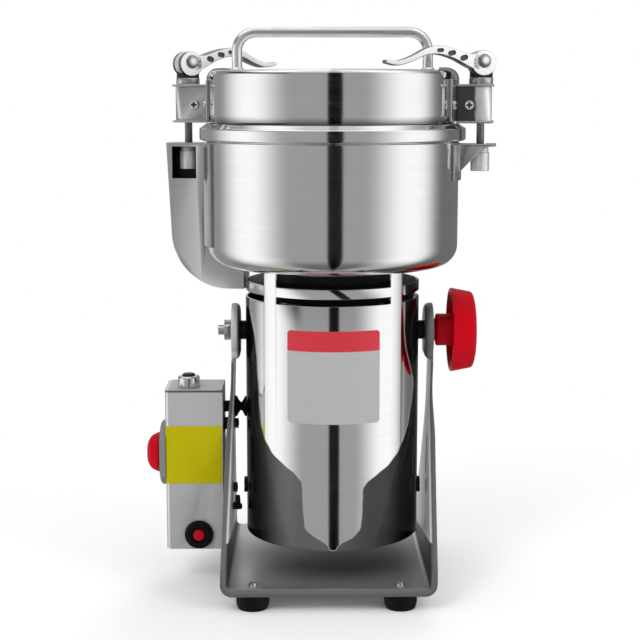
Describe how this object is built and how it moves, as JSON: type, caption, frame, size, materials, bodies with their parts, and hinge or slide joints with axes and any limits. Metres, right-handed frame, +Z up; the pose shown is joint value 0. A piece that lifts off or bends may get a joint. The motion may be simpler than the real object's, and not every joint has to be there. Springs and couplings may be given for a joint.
{
  "type": "tilting grain mill",
  "caption": "Electric dry-grain mill: a lidded steel bowl with cutting blades on an upright motor barrel that tilts in a U-shaped stand, with clamp levers and a control box.",
  "frame": {"origin": "on the axis of the motor barrel at the level of the surface the mill stands on", "axes": "+X to the right seen from the front, +Y to the back, +Z up along the barrel and bowl"},
  "size_m": [0.2764, 0.2076, 0.44],
  "materials": {
    "stand_steel": "dark satin sheet",
    "foot_rubber": "matt",
    "screw_steel": "bright zinc",
    "box_paint": "fine satin texture",
    "black_plastic": "matt",
    "yellow_label": "printed film",
    "dial_plate": "printed plate",
    "grey_plastic": "matt",
    "red_knob": "glossy moulding",
    "chrome_bezel": "bright",
    "black_rubber": "matt",
    "red_button": "glossy",
    "cream_plastic": "matt",
    "polished_steel": "mirror polished stainless",
    "dark_paint": "matt",
    "plate_metal": "brushed with a red band",
    "core_iron": "laminated sheet",
    "copper_wire": "enamelled copper",
    "dark_casting": "matt black casting",
    "brass_parts": "drawn",
    "carbon": "pressed carbon",
    "nut_steel": "turned",
    "satin_steel": "satin stainless",
    "copper_bars": "turned copper",
    "blade_steel": "ground blade steel",
    "white_rubber": "silicone",
    "handle_steel": "polished rod",
    "housing_steel": "bent sheet",
    "cast_metal": "polished casting"
  },
  "bodies": {
    "stand": {"base_frame": "stand_steel", "rubber_feet": "foot_rubber", "foot_screws": "screw_steel", "box_shell": "box_paint", "box_top": "box_paint", "box_spacers": "black_plastic", "box_label": "yellow_label", "timer_dial": "dial_plate", "timer_body": "grey_plastic", "power_switch": "chrome_bezel", "overload_breaker": "black_plastic", "reset_boot": "black_rubber", "terminal_block": "cream_plastic", "cable_grommet": "black_rubber", "motor_cable": "black_rubber", "mains_gland": "black_plastic"},
    "mill": {"barrel_shell": "polished_steel", "barrel_floor": "dark_paint", "rating_label": "plate_metal", "stator_core": "core_iron", "stator_windings": "copper_wire", "upper_bracket": "dark_casting", "lower_bracket": "dark_casting", "bearings": "screw_steel", "brush_holders": "brass_parts", "brushes": "carbon", "brush_caps": "black_plastic", "pivot_studs": "screw_steel", "pivot_spacers": "black_plastic", "pivot_nut": "nut_steel", "bowl": "satin_steel", "shaft_seal": "black_rubber", "handle_bracket": "satin_steel", "right_bracket": "satin_steel"},
    "rotor": {"motor_shaft": "screw_steel", "armature": "core_iron", "commutator": "copper_bars", "cooling_fan": "grey_plastic", "blades": "blade_steel", "blade_spacers": "satin_steel", "blade_nut": "nut_steel"},
    "lid": {"lid_shell": "satin_steel", "lid_liner": "satin_steel", "lid_seal": "white_rubber", "lid_handle": "handle_steel", "lid_straps": "satin_steel", "clamp_housings": "housing_steel", "clamp_screws": "screw_steel", "clamp_collars": "cast_metal", "cam_cradles": "black_plastic"},
    "left_rod": {"left_clamp_rod": "screw_steel", "left_rod_nut": "nut_steel"},
    "right_rod": {"right_clamp_rod": "screw_steel", "right_rod_nut": "nut_steel"},
    "left_lever": {"left_cam_lever": "cast_metal"},
    "right_lever": {"right_cam_lever": "cast_metal"},
    "lock_wheel": {"lock_knob": "red_knob"},
    "timer_wheel": {"timer_knob": "red_knob"},
    "power_key": {"power_button": "black_plastic"},
    "reset_key": {"reset_button": "red_button"}
  },
  "joints": [
    {"name": "mill_tilt", "type": "hinge", "parent": "stand", "child": "mill", "pos_m": [0, 0, 0.203], "axis": [1, 0, 0], "range_deg": [0, 90]},
    {"name": "rotor_spin", "type": "hinge", "parent": "mill", "child": "rotor", "pos_m": [0, 0, 0.15], "axis": [0, 0, 1], "continuous": true},
    {"name": "lid_swing", "type": "hinge", "parent": "mill", "child": "lid", "pos_m": [-0.11358, 0.01799, 0.38], "axis": [0, 0, 1], "range_deg": [0, 110]},
    {"name": "left_rod_drop", "type": "slide", "parent": "lid", "child": "left_rod", "axis": [0, 0, -1], "range_m": [0, 0.0012]},
    {"name": "right_rod_drop", "type": "slide", "parent": "lid", "child": "right_rod", "axis": [0, 0, -1], "range_m": [0, 0.0012]},
    {"name": "left_lever_lift", "type": "hinge", "parent": "left_rod", "child": "left_lever", "pos_m": [-0.11358, 0.01799, 0.4136], "axis": [0.5, -0.866, 0], "range_deg": [0, 110]},
    {"name": "right_lever_lift", "type": "hinge", "parent": "right_rod", "child": "right_lever", "pos_m": [0.11358, -0.01799, 0.4136], "axis": [-0.1736, 0.9848, 0], "range_deg": [0, 110]},
    {"name": "lock_turn", "type": "hinge", "parent": "mill", "child": "lock_wheel", "pos_m": [0.1, 0, 0.203], "axis": [-1, 0, 0], "range_deg": [0, 360]},
    {"name": "timer_turn", "type": "hinge", "parent": "stand", "child": "timer_wheel", "pos_m": [-0.14, 0, 0.1035], "axis": [1, 0, 0], "range_deg": [0, 300]},
    {"name": "power_press", "type": "slide", "parent": "stand", "child": "power_key", "axis": [0, 0, -1], "range_m": [0, 0.002], "stiffness_N_per_m": 400, "springref_m": -0.002},
    {"name": "reset_press", "type": "slide", "parent": "stand", "child": "reset_key", "axis": [0, 1, 0], "range_m": [0, 0.002], "stiffness_N_per_m": 500, "springref_m": -0.002}
  ],
  "couplings": [
    {"joint": "left_rod_drop", "follows": "left_lever_lift", "m_per_rad": 0.000625},
    {"joint": "right_rod_drop", "follows": "right_lever_lift", "m_per_rad": 0.000625}
  ]
}
